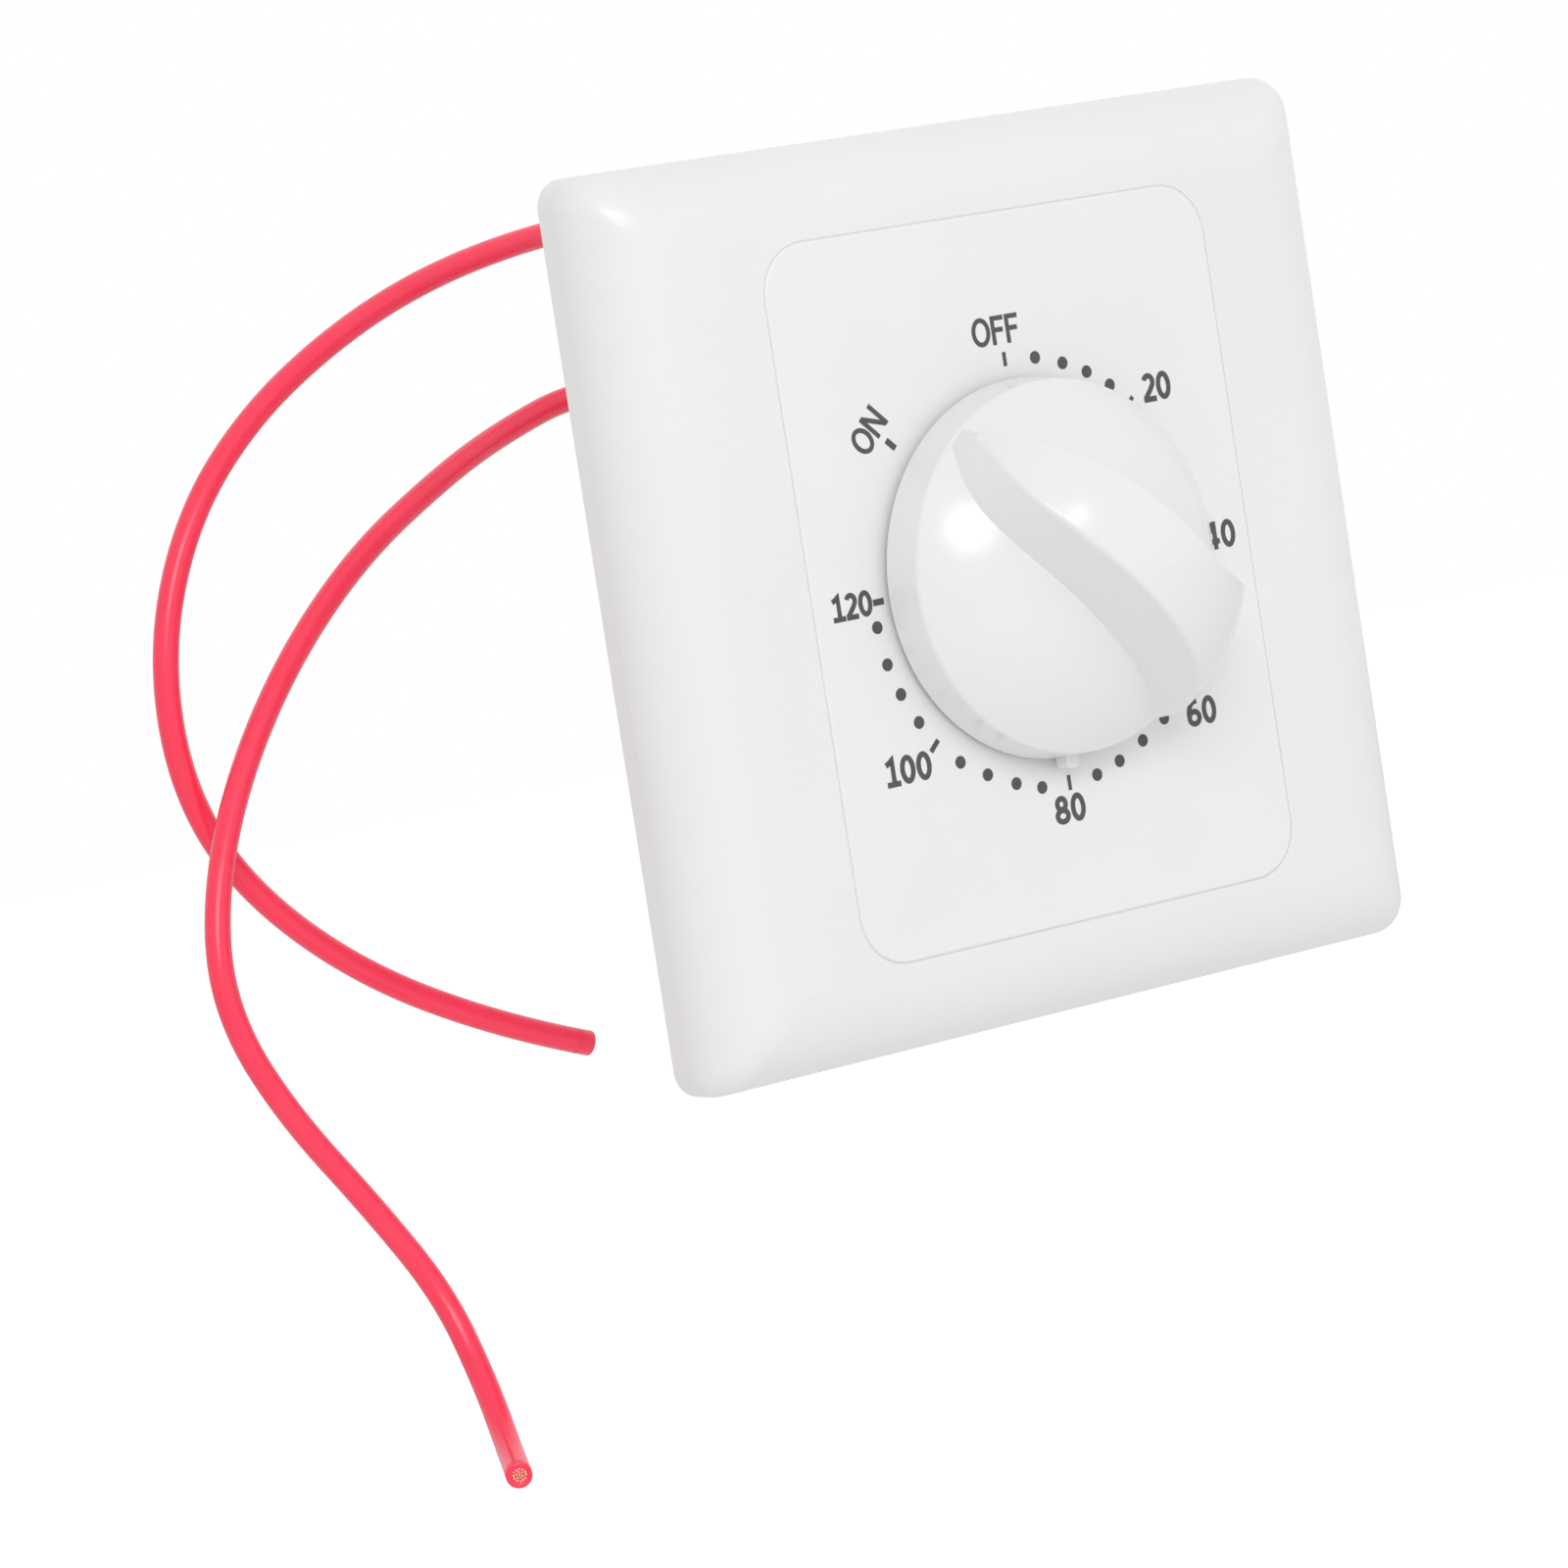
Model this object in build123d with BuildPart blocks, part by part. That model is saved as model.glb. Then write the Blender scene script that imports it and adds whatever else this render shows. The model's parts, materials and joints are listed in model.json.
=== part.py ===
from build123d import *
from math import acos, asin, atan2, cos, degrees, hypot, pi, radians, sin, sqrt, tan
import os

# Wall-plate countdown timer for a light, in millimetres: 0 to 120 minutes, OFF, and a hold ON.
# +Z is up and the front faces -Y. The origin is the plate's centre in the wall plane, so what
# has a positive y is sunk in the wall box and what has a negative y stands in the room.
os.makedirs("parts", exist_ok=True)

# Wall plate
plate_size = 86.0
plate_depth = 9.8
plate_rim = 2.4
plate_bevel = 8.2
plate_corner = 2.8
plate_face_corner = 0.9
plate_wall = 2.2
plate_bevel_steps = 6
wall_screw_spacing = 60.3
wall_screw_hole = 2.1
wall_screw_head = 3.9
wall_screw_head_depth = 3.0
wall_boss = 4.9
rib_thickness = 1.4
rib_height = 3.0

# Dial panel, which lies in a recess of the plate
panel_width = 52.6
panel_height = 67.8
panel_corner = 5.0
panel_thickness = 1.7
panel_proud = 0.2
panel_gap = 0.1
panel_edge_round = 0.3
panel_shaft_hole = 4.4
recess_floor = 2.0
floor_opening = 9.0
pad_margin = 1.6
clip_width = 5.0
clip_thickness = 1.3
clip_length = 4.2
clip_hook = 0.7
clip_inset = 2.2

# Knob
knob_gap = 0.8
skirt_radius = 18.1
crease_radius = 17.7
skirt_height = 4.1
crease_round = 0.7
low_dome_height = 13.0
high_dome_radius = 17.5
high_dome_ball = 18.6
high_dome_height = 20.5
grip_azimuth = 142.0
grip_draft = 12.5
grip_reference_height = 10.0
grip_edge_round = 0.6
knob_wall = 1.9
hub_radius = 5.0
hub_end_gap = 1.2
hub_bore_depth = 10.0
gate_nub_azimuth = 183.0
gate_nub_width = 1.5
gate_nub_height = 1.6
gate_nub_reach = 1.0
clamp_ring_thickness = 0.6
clamp_ring_length = 3.0

# Dial travel, counted clockwise from OFF: the grip points at rest_mark in the rest pose
rest_mark = -38.0
on_mark = -45.0
last_mark = 270.0

# Drive shaft
shaft_radius = 3.0
shaft_tail_radius = 2.5
shaft_flat = 1.9
running_gap = 0.05
seat_gap = 0.02
end_gap = 0.1

# Movement plates and pillars
train_margin = 0.35
movement_corner = 3.0
movement_plate = 1.2
movement_space = 14.0
pillar_inset_x = 2.7
pillar_inset_z = 2.7
pillar_radius = 2.0
screw_shank = 1.25
screw_head = 2.3
screw_head_height = 1.3
screw_depth = 4.8
mount_screw_x = 18.5
mount_screw_z = 13.0
mount_screw_shank = 1.5
mount_screw_head = 2.9
mount_screw_head_height = 1.4
mount_screw_end = 1.8

# Gear train
gear_module = 0.5
tooth_share = 0.40
tooth_root_share = 0.60
tooth_tip_share = 0.18
addendum_share = 0.9
dedendum_share = 1.25
main_teeth = 48
second_teeth = 40
third_teeth = 32
pinion_teeth = 8
escape_teeth = 24
wheel_thickness = 1.2
pinion_length = 2.4
arbor_radius = 1.0
pivot_radius = 0.5
second_azimuth = 70.0
third_azimuth = -45.0
escape_azimuth = -90.0
balance_azimuth = -100.0
wheel_rim = 1.6
wheel_hub = 2.6
wheel_spokes = 4
spoke_width = 1.4
escape_radius = 5.5
escape_root = 4.2
escape_lean = 6.0
escape_tip = 0.8
pallet_pin = 0.2
pallet_clearance = 0.12
pallet_span = 5.5
verge_thickness = 0.8
verge_width = 1.4
verge_gap = 0.5
balance_arm = 8.54
balance_radius = 5.5
balance_rim = 1.2
balance_thickness = 1.6
balance_bar = 1.4

# Levels of the movement, each the distance of a wheel's front face behind the front plate
main_level = 1.0
balance_level = 4.3
spring_level = 3.8
second_level = 9.9
third_level = 11.9

# Mainspring and its post
spring_inner = 3.4
spring_strip = 0.35
spring_height = 5.0
spring_turns = 6
spring_pitch = 1.15
spring_post = 0.9
spring_post_reach = 0.4

# Cam, stop arm and retaining ring on the shaft's tail
cam_radius = 7.0
cam_thickness = 3.0
cam_gap = 1.0
cam_notch_depth = 1.6
cam_notch_angle = 16.0
stop_arm_gap = 1.0
stop_arm_thickness = 1.0
stop_arm_length = 10.0
stop_arm_radius = 4.2
stop_arm_half_angle = 15.0
stop_pin_distance = 9.0
stop_pin_radius = 1.0
stop_gap_angle = 1.1
ring_gap = 0.2
ring_thickness = 0.6
ring_radius = 3.8

# Switch contacts behind the rear plate
blade_width = 4.0
blade_thickness = 0.4
blade_gap = 0.5
follower_gap = 0.15
follower_height = 1.7
follower_width = 3.0
contact_gap = 3.6
contact_radius = 1.4
contact_offset = 6.0
block_width = 6.5
block_height = 6.0
block_depth = 6.0
block_offset = 8.5
blade_end = 19.5
barrel_radius = 1.9
barrel_length = 5.0

# Leads
lead_diameter = 2.5
core_diameter = 1.5
core_depth = 3.0
core_wires = 7

# Rear cover and cable grommet
cover_gap = 0.6
cover_wall = 1.6
cover_depth = 11.3
cover_corner = 4.0
cover_sleeve = 2.7
grommet_offset_x = 4.0
grommet_height = 17.5
lead_spacing = 6.0
grommet_width = 13.0
grommet_size = 7.0
grommet_flange = 1.2
grommet_flange_thickness = 1.4
grommet_nose = 3.0
grommet_taper = 8.0
overrun = 1.0

# Depths that follow from those sizes
panel_front = -(plate_depth + panel_proud)
floor_front = panel_front + panel_thickness
floor_back = floor_front + recess_floor
movement_front = floor_back
inner_front = movement_front + movement_plate
inner_back = inner_front + movement_space
movement_back = inner_back + movement_plate
skirt_front = panel_front - knob_gap
cover_inner = movement_back + cover_depth - cover_wall
cover_back = movement_back + cover_depth
shaft_front = skirt_front - hub_end_gap - hub_bore_depth + end_gap
cam_front = movement_back + cam_gap
stop_arm_front = cam_front + cam_thickness + stop_arm_gap
ring_front = stop_arm_front + stop_arm_thickness + ring_gap
shaft_back = ring_front + ring_thickness + ring_gap
blade_front = movement_back + blade_gap
lead_radius = lead_diameter / 2
lead_plane = blade_front + blade_width


# A plane parallel to the wall that looks into the room: its x points along the azimuth, which
# is counted clockwise from up as on the dial, and its origin is at the given place
def facing(depth, azimuth=90.0, place=(0, 0)):
    across = (sin(radians(azimuth)), 0, cos(radians(azimuth)))
    return Plane(origin=(place[0], depth, place[1]), x_dir=across, z_dir=(0, -1, 0))


# A point of such a plane, by its distance from the dial axis and its clockwise azimuth from up
def around(distance, azimuth):
    return (distance * sin(radians(azimuth)), distance * cos(radians(azimuth)))


# A round bar along Y, between two depths
def bar(radius, front, back, place=(0, 0), mode=Mode.ADD):
    with BuildSketch(facing(back, place=place)) as disc:
        Circle(radius)
    extrude(disc.sketch, amount=back - front, mode=mode)


def save(part, label):
    part.label = label
    export_step(part, f"parts/{label}.step")


# Plate body: a straight rim, then rounded squares that close in along a quarter ellipse
def plate_block(inset, mode):
    size = plate_size - 2 * inset
    depth = plate_depth - inset
    corner = max(plate_corner - inset, plate_face_corner)
    with BuildSketch(facing(0)) as base:
        RectangleRounded(size, size, corner)
    extrude(base.sketch, amount=plate_rim, mode=mode)
    sections = []
    for step in range(plate_bevel_steps + 1):
        turn = radians(90) * step / plate_bevel_steps
        shrink = plate_bevel * (1 - cos(turn))
        rounding = corner - (corner - plate_face_corner) * (1 - cos(turn))
        with BuildSketch(facing(-plate_rim - (depth - plate_rim) * sin(turn))) as section:
            RectangleRounded(size - 2 * shrink, size - 2 * shrink, rounding)
        sections.append(section.sketch)
    loft(sections, mode=mode)


wall_screws = [(0, side * wall_screw_spacing / 2) for side in (-1, 1)]
mount_screws = [(side * mount_screw_x, -side * mount_screw_z) for side in (-1, 1)]
clip_x = panel_width / 4
clip_z = panel_height / 2 - clip_inset
clips = [(across * clip_x, up * clip_z) for across in (-1, 1) for up in (-1, 1)]
recess_width = panel_width + 2 * panel_gap
recess_height = panel_height + 2 * panel_gap
pad_width = recess_width + 2 * pad_margin
pad_height = recess_height + 2 * pad_margin
pad_thickness = floor_back + plate_depth - plate_wall / 2

# Wall plate: a domed shell with a recess for the dial panel, screw bosses and stiffening ribs
with BuildPart() as face_plate:
    plate_block(0, Mode.ADD)
    plate_block(plate_wall, Mode.SUBTRACT)
    with BuildSketch(facing(floor_back)):
        RectangleRounded(pad_width, pad_height, panel_corner + pad_margin)
    extrude(amount=pad_thickness)
    rib_length = plate_size / 2 - plate_wall / 2
    with BuildSketch(facing(-plate_rim)):
        for place in (-clip_x, 0, clip_x):
            for side in (-1, 1):
                with Locations((place, side * (rib_length + pad_height / 2) / 2)):
                    Rectangle(rib_thickness, rib_length - pad_height / 2)
                with Locations((side * (rib_length + pad_width / 2) / 2, place)):
                    Rectangle(rib_length - pad_width / 2, rib_thickness)
    extrude(amount=rib_height)
    with BuildSketch(facing(0)):
        with Locations(*wall_screws):
            Circle(wall_boss)
    extrude(amount=-floor_back)
    with BuildSketch(facing(floor_front)):
        RectangleRounded(recess_width, recess_height, panel_corner + panel_gap)
    extrude(amount=floor_front + plate_depth + overrun, mode=Mode.SUBTRACT)
    with BuildSketch(facing(floor_front)):
        with Locations(*wall_screws):
            Circle(wall_screw_head)
    extrude(amount=-wall_screw_head_depth, mode=Mode.SUBTRACT)
    with BuildSketch(facing(floor_front)):
        with Locations(*clips):
            Rectangle(clip_width + 2 * panel_gap, clip_thickness + clip_hook + 2 * panel_gap)
        Circle(floor_opening)
    extrude(amount=-(recess_floor + overrun), mode=Mode.SUBTRACT)
    with BuildSketch(facing(0)):
        with Locations(*wall_screws):
            Circle(wall_screw_hole)
    extrude(amount=plate_depth, mode=Mode.SUBTRACT)
    for place in mount_screws:
        bar(mount_screw_shank + running_gap, floor_front, floor_back, place, Mode.SUBTRACT)
        with BuildSketch(facing(floor_front, place=place)):
            Circle(mount_screw_head + running_gap)
        with BuildSketch(facing(floor_front + mount_screw_head_height, place=place)):
            Circle(mount_screw_shank + running_gap)
        loft(mode=Mode.SUBTRACT)
save(face_plate.part, "face_plate")

# Dial panel: the printed insert, held by four clips, with the shaft's hole at its centre
with BuildPart() as dial_panel:
    with BuildSketch(facing(floor_front)):
        RectangleRounded(panel_width, panel_height, panel_corner)
    extrude(amount=panel_thickness)
    fillet(dial_panel.faces().sort_by(Axis.Y)[0].outer_wire().edges(), panel_edge_round)
    with BuildSketch(facing(floor_front)):
        with Locations(*clips):
            Rectangle(clip_width, clip_thickness)
    extrude(amount=-clip_length)
    with BuildSketch(facing(floor_front + clip_length)):
        for across in (-1, 1):
            for up in (-1, 1):
                with Locations((across * clip_x, up * (clip_z + clip_hook / 2))):
                    Rectangle(clip_width, clip_thickness + clip_hook)
    extrude(amount=clip_length - recess_floor - panel_gap)
    bar(panel_shaft_hole, panel_front - overrun, floor_front + overrun, mode=Mode.SUBTRACT)
save(dial_panel.part, "dial_panel")


# Low dome of the knob: a ball cap that springs from the crease of the skirt
cap_rise = low_dome_height - skirt_height - knob_gap
cap_radius = (crease_radius**2 + cap_rise**2) / (2 * cap_rise)


def cap_depth(radius, inset=0.0):
    rise = sqrt((cap_radius - inset) ** 2 - radius**2) - cap_radius
    return panel_front - low_dome_height - rise


# S-shaped wall of the grip, as shares of the crease radius: along the grip, and out from its axis
# for the wall seen from the ON side, then for the wall behind it, which closes in on the pointing tip
near_along_shares = (-1.045, -0.938, -0.836, -0.706, -0.508, -0.169, 0.169, 0.508, 0.79, 1.045)
near_out_shares = (-0.085, 0.068, 0.186, 0.274, 0.331, 0.350, 0.331, 0.282, 0.215, 0.136)
far_along_shares = (-1.045, -0.938, -0.836, -0.706, -0.508, -0.169, 0.169, 0.433, 0.74, 0.926, 1.045)
far_out_shares = (-0.085, 0.068, 0.186, 0.274, 0.331, 0.350, 0.325, 0.278, 0.170, 0.045, -0.06)
scoop_foot = skirt_height / 2
scoop_top = high_dome_height + overrun


def grip_wall(height, along_shares, out_shares):
    lean = tan(radians(grip_draft)) * (grip_reference_height - height)
    points = zip(along_shares, out_shares)
    return [(along * crease_radius, -out * crease_radius - lean) for along, out in points]


# High dome of the grip: a ball cap on an upright rim
def dome_depth(radius):
    rise = sqrt(high_dome_ball**2 - radius**2) - high_dome_ball
    return panel_front - high_dome_height - rise


# Grip: a tall dome with a drafted S-shaped scoop taken from each side
with BuildPart() as grip:
    with BuildSketch(Plane.XY):
        with BuildLine():
            dome_rim = (high_dome_radius, dome_depth(high_dome_radius))
            dome_middle = high_dome_radius / 2
            ThreePointArc(dome_rim, (dome_middle, dome_depth(dome_middle)), (0, dome_depth(0)))
            Polyline(
                (0, dome_depth(0)),
                (0, panel_front),
                (high_dome_radius, panel_front),
                dome_rim,
            )
        make_face()
    revolve(axis=Axis.Y)
    walls = ((0, near_along_shares, near_out_shares), (180, far_along_shares, far_out_shares))
    for turn, along_shares, out_shares in walls:
        for height in (scoop_foot, scoop_top):
            wall = grip_wall(height, along_shares, out_shares)
            reach = -2 * high_dome_radius
            with BuildSketch(facing(panel_front - height, grip_azimuth + turn)):
                with BuildLine():
                    Spline(*wall)
                    Polyline(wall[-1], (wall[-1][0], reach), (wall[0][0], reach), wall[0])
                make_face()
        loft(ruled=True, mode=Mode.SUBTRACT)
    split(bisect_by=facing(panel_front - scoop_foot), keep=Keep.TOP)
    fillet(grip.edges().sort_by(Axis.Y)[:2], grip_edge_round)

# Knob: skirt, low dome, grip and hub in one moulding, hollow below, with a D-shaped bore
with BuildPart() as knob:
    with BuildSketch(Plane.XY):
        with BuildLine():
            crease = (crease_radius, skirt_front - skirt_height)
            Polyline((0, skirt_front), (skirt_radius, skirt_front), crease)
            middle = crease_radius / 2
            ThreePointArc(crease, (middle, cap_depth(middle)), (0, cap_depth(0)))
            Line((0, cap_depth(0)), (0, skirt_front))
        make_face()
    revolve(axis=Axis.Y)
    fillet(knob.edges().filter_by(GeomType.CIRCLE).sort_by(SortBy.RADIUS)[0], crease_round)
    add(grip.part)
    with BuildSketch(Plane.XY):
        with BuildLine():
            inner = skirt_radius - knob_wall
            inner_middle = (inner + hub_radius) / 2
            hollow_top = (inner - knob_wall / 2, cap_depth(inner - knob_wall / 2, knob_wall))
            hub_top = (hub_radius, cap_depth(hub_radius, knob_wall))
            Polyline(
                hub_top,
                (hub_radius, skirt_front + overrun),
                (inner, skirt_front + overrun),
                hollow_top,
            )
            ThreePointArc(hollow_top, (inner_middle, cap_depth(inner_middle, knob_wall)), hub_top)
        make_face()
    revolve(axis=Axis.Y, mode=Mode.SUBTRACT)
    bar(hub_radius + seat_gap, skirt_front - hub_end_gap, skirt_front + overrun, mode=Mode.SUBTRACT)
    with BuildSketch(facing(skirt_front - hub_end_gap)):
        Circle(shaft_radius + seat_gap)
        with Locations((shaft_flat + seat_gap + shaft_radius / 2, 0)):
            Rectangle(shaft_radius, 2 * shaft_radius, mode=Mode.SUBTRACT)
    extrude(amount=hub_bore_depth, mode=Mode.SUBTRACT)
    nub_reach = skirt_radius + gate_nub_reach
    with BuildSketch(facing(skirt_front, gate_nub_azimuth)):
        with Locations((nub_reach - gate_nub_reach, 0)):
            RectangleRounded(2 * gate_nub_reach, gate_nub_width, gate_nub_width / 3)
    extrude(amount=gate_nub_height)
save(knob.part, "knob")

# Clamp ring: a split steel ring that squeezes the hub onto the shaft
with BuildPart() as knob_clamp_ring:
    ring_mouth = skirt_front - hub_end_gap - seat_gap
    bar(hub_radius + seat_gap + clamp_ring_thickness, ring_mouth - clamp_ring_length, ring_mouth)
    bar(hub_radius + seat_gap, ring_mouth - clamp_ring_length, ring_mouth, mode=Mode.SUBTRACT)
    with BuildSketch(facing(ring_mouth)):
        with Locations((hub_radius, 0)):
            Rectangle(hub_radius, clamp_ring_thickness)
    extrude(amount=clamp_ring_length, mode=Mode.SUBTRACT)
save(knob_clamp_ring.part, "knob_clamp_ring")

# Drive shaft: carries the knob in front, the main wheel inside and the cam behind
with BuildPart() as drive_shaft:
    bar(shaft_radius, shaft_front, inner_back - end_gap)
    bar(shaft_tail_radius, inner_back - end_gap, shaft_back)
    with BuildSketch(facing(skirt_front)):
        with Locations((shaft_flat + shaft_radius / 2, 0)):
            Rectangle(shaft_radius, 2 * shaft_radius)
    extrude(amount=skirt_front - shaft_front + overrun, mode=Mode.SUBTRACT)
save(drive_shaft.part, "drive_shaft")

# Places of the arbors: each is its pair's pitch radii away from the one before
second_distance = gear_module * (main_teeth + pinion_teeth) / 2
third_distance = gear_module * (second_teeth + pinion_teeth) / 2
escape_distance = gear_module * (third_teeth + pinion_teeth) / 2


def step_from(place, distance, azimuth):
    across, up = around(distance, azimuth)
    return (place[0] + across, place[1] + up)


second_place = step_from((0, 0), second_distance, second_azimuth)
third_place = step_from(second_place, third_distance, third_azimuth)
escape_place = step_from(third_place, escape_distance, escape_azimuth)
balance_place = step_from(escape_place, balance_arm, balance_azimuth)
arbor_places = (second_place, third_place, escape_place, balance_place)

# The movement plates are as large as the train needs: the second wheel reaches furthest to the
# side and the third wheel furthest up
second_reach = gear_module * (second_teeth / 2 + addendum_share)
third_reach = gear_module * (third_teeth / 2 + addendum_share)
movement_width = 2 * (second_place[0] + second_reach + train_margin)
movement_height = 2 * (third_place[1] + third_reach + train_margin)
pillar_x = movement_width / 2 - pillar_inset_x
pillar_z = movement_height / 2 - pillar_inset_z
pillars = [(across * pillar_x, up * pillar_z) for across in (-1, 1) for up in (-1, 1)]
stop_pin_place = (0, stop_pin_distance)
spring_outer = spring_inner + spring_pitch * spring_turns
post_place = (-(spring_outer + spring_post + spring_post_reach), 0)


# A movement plate with a pivot hole for each arbor, and holes for the shaft and the screws
def movement_plate_at(front, shaft_hole, screw_places, screw_hole):
    with BuildSketch(facing(front + movement_plate)) as outline:
        RectangleRounded(movement_width, movement_height, movement_corner)
        Circle(shaft_hole, mode=Mode.SUBTRACT)
        with Locations(*arbor_places):
            Circle(pivot_radius + running_gap, mode=Mode.SUBTRACT)
        with Locations(*screw_places):
            Circle(screw_hole, mode=Mode.SUBTRACT)
    extrude(outline.sketch, amount=movement_plate)


with BuildPart() as movement_front_plate:
    movement_plate_at(
        movement_front, shaft_radius + running_gap, mount_screws, mount_screw_shank + seat_gap
    )
save(movement_front_plate.part, "movement_front_plate")

with BuildPart() as movement_rear_plate:
    movement_plate_at(inner_back, shaft_tail_radius + running_gap, pillars, screw_shank + seat_gap)
save(movement_rear_plate.part, "movement_rear_plate")

# Four pillars hold the plates apart and take the screws from behind
with BuildPart() as plate_pillars:
    for place in pillars:
        bar(pillar_radius, inner_front, inner_back, place)
    for place in pillars:
        bar(screw_shank + seat_gap, inner_back - screw_depth, inner_back, place, Mode.SUBTRACT)
save(plate_pillars.part, "plate_pillars")


# Round-headed screws that enter from behind, with their heads on the given depth
def rear_screws(places, seat):
    for place in places:
        bar(screw_shank, inner_back - screw_depth + end_gap, seat, place)
        bar(screw_head, seat, seat + screw_head_height, place)


with BuildPart() as pillar_screws:
    rear_screws((pillars[1], pillars[2]), movement_back)
save(pillar_screws.part, "pillar_screws")

with BuildPart() as cover_screws:
    rear_screws((pillars[0], pillars[3]), cover_back)
save(cover_screws.part, "cover_screws")

# Countersunk screws that hold the movement against the wall plate, under the dial panel
with BuildPart() as movement_screws:
    for place in mount_screws:
        bar(mount_screw_shank, floor_front, inner_front + mount_screw_end, place)
        with BuildSketch(facing(floor_front + seat_gap, place=place)):
            Circle(mount_screw_head - seat_gap)
        with BuildSketch(facing(floor_front + mount_screw_head_height, place=place)):
            Circle(mount_screw_shank)
        loft()
save(movement_screws.part, "movement_screws")


# Outline of a spur gear with plain tapered teeth, one tooth centred on the given angle
def gear_points(teeth, tooth_angle):
    pitch = pi * gear_module
    tip = gear_module * (teeth / 2 + addendum_share)
    root = gear_module * (teeth / 2 - dedendum_share)
    root_half = degrees(tooth_root_share * pitch / 2 / root)
    tip_half = degrees(tooth_tip_share * pitch / 2 / tip)
    points = []
    for tooth in range(teeth):
        centre = tooth_angle + 360 * tooth / teeth
        for radius, offset in ((root, -root_half), (tip, -tip_half), (tip, tip_half), (root, root_half)):
            angle = radians(centre + offset)
            points.append((radius * cos(angle), radius * sin(angle)))
    return points


# Angle of the line from one place to another, as the plane of the movement measures it
def bearing(start, end):
    return degrees(atan2(end[1] - start[1], end[0] - start[0]))


# A brass wheel with open crossings and a gap between teeth on the given angle
def crossed_wheel(teeth, gap_angle, front, place, bore):
    rim_inner = gear_module * (teeth / 2 - dedendum_share) - wheel_rim
    with BuildSketch(facing(front + wheel_thickness, place=place)) as outline:
        with BuildLine():
            Polyline(*gear_points(teeth, gap_angle + 180 / teeth), close=True)
        make_face()
        Circle(rim_inner, mode=Mode.SUBTRACT)
        Circle(bore + wheel_hub)
        with PolarLocations(rim_inner / 2, wheel_spokes):
            Rectangle(rim_inner + wheel_rim / 2, spoke_width)
        Circle(bore + seat_gap, mode=Mode.SUBTRACT)
    extrude(outline.sketch, amount=wheel_thickness)


# An arbor with a pivot in each plate and a pinion cut on it
def pinion_arbor(tooth_angle, front, place):
    bar(arbor_radius, inner_front + end_gap, inner_back - end_gap, place)
    bar(pivot_radius, movement_front + end_gap, movement_back - end_gap, place)
    with BuildSketch(facing(front + pinion_length, place=place)) as leaves:
        with BuildLine():
            Polyline(*gear_points(pinion_teeth, tooth_angle), close=True)
        make_face()
    extrude(leaves.sketch, amount=pinion_length)


main_front = inner_front + main_level
second_front = inner_front + second_level
third_front = inner_front + third_level
pinion_lead = (pinion_length - wheel_thickness) / 2

with BuildPart() as main_wheel:
    crossed_wheel(main_teeth, bearing((0, 0), second_place), main_front, (0, 0), shaft_radius)
save(main_wheel.part, "main_wheel")

# Clutch washer: a dished spring washer between the front plate and the main wheel
clutch_back = main_front - seat_gap
clutch_front = inner_front + end_gap
with BuildPart() as clutch_washer:
    with BuildSketch(facing(clutch_back)):
        Circle(shaft_radius + wheel_hub)
    with BuildSketch(facing(clutch_front)):
        Circle(shaft_radius + wheel_hub / 2)
    loft()
    bar(shaft_radius + seat_gap, clutch_front - overrun, clutch_back + overrun, mode=Mode.SUBTRACT)
save(clutch_washer.part, "clutch_washer")

with BuildPart() as second_wheel:
    crossed_wheel(
        second_teeth, bearing(second_place, third_place), second_front, second_place, arbor_radius
    )
save(second_wheel.part, "second_wheel")

with BuildPart() as second_pinion:
    pinion_arbor(bearing(second_place, (0, 0)), main_front - pinion_lead, second_place)
save(second_pinion.part, "second_pinion")

with BuildPart() as third_wheel:
    crossed_wheel(
        third_teeth, bearing(third_place, escape_place), third_front, third_place, arbor_radius
    )
save(third_wheel.part, "third_wheel")

with BuildPart() as third_pinion:
    pinion_arbor(bearing(third_place, second_place), second_front - pinion_lead, third_place)
save(third_pinion.part, "third_pinion")

with BuildPart() as escape_pinion:
    pinion_arbor(bearing(escape_place, third_place), third_front - pinion_lead, escape_place)
save(escape_pinion.part, "escape_pinion")

# Escape wheel: pointed teeth that lean forward, with the pallet pins midway between two of them
escape_pitch = 360 / escape_teeth
escape_bearing = bearing(escape_place, balance_place)
with BuildPart() as escape_wheel:
    teeth_points = []
    for tooth in range(escape_teeth):
        centre = escape_bearing + escape_pitch * tooth
        for radius, offset in (
            (escape_root, -escape_pitch / 2 + escape_lean / 2),
            (escape_radius, -escape_tip / 2),
            (escape_radius, escape_tip / 2),
            (escape_root, escape_lean / 2),
        ):
            angle = radians(centre + offset)
            teeth_points.append((radius * cos(angle), radius * sin(angle)))
    with BuildSketch(facing(second_front + wheel_thickness, place=escape_place)):
        with BuildLine():
            Polyline(*teeth_points, close=True)
        make_face()
        Circle(arbor_radius + seat_gap, mode=Mode.SUBTRACT)
    extrude(amount=wheel_thickness)
save(escape_wheel.part, "escape_wheel")

# Balance staff with its verge: a forked arm whose two pins straddle the escape wheel
pin_circle = escape_radius + pallet_pin + pallet_clearance
verge_front = second_front - verge_gap - verge_thickness
pin_places = []
for side in (-1, 1):
    angle = radians(escape_bearing + side * pallet_span / 2 * escape_pitch)
    pin_places.append(
        (escape_place[0] + pin_circle * cos(angle), escape_place[1] + pin_circle * sin(angle))
    )
with BuildPart() as balance_staff:
    bar(arbor_radius, inner_front + end_gap, inner_back - end_gap, balance_place)
    bar(pivot_radius, movement_front + end_gap, movement_back - end_gap, balance_place)
save(balance_staff.part, "balance_staff")

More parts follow.
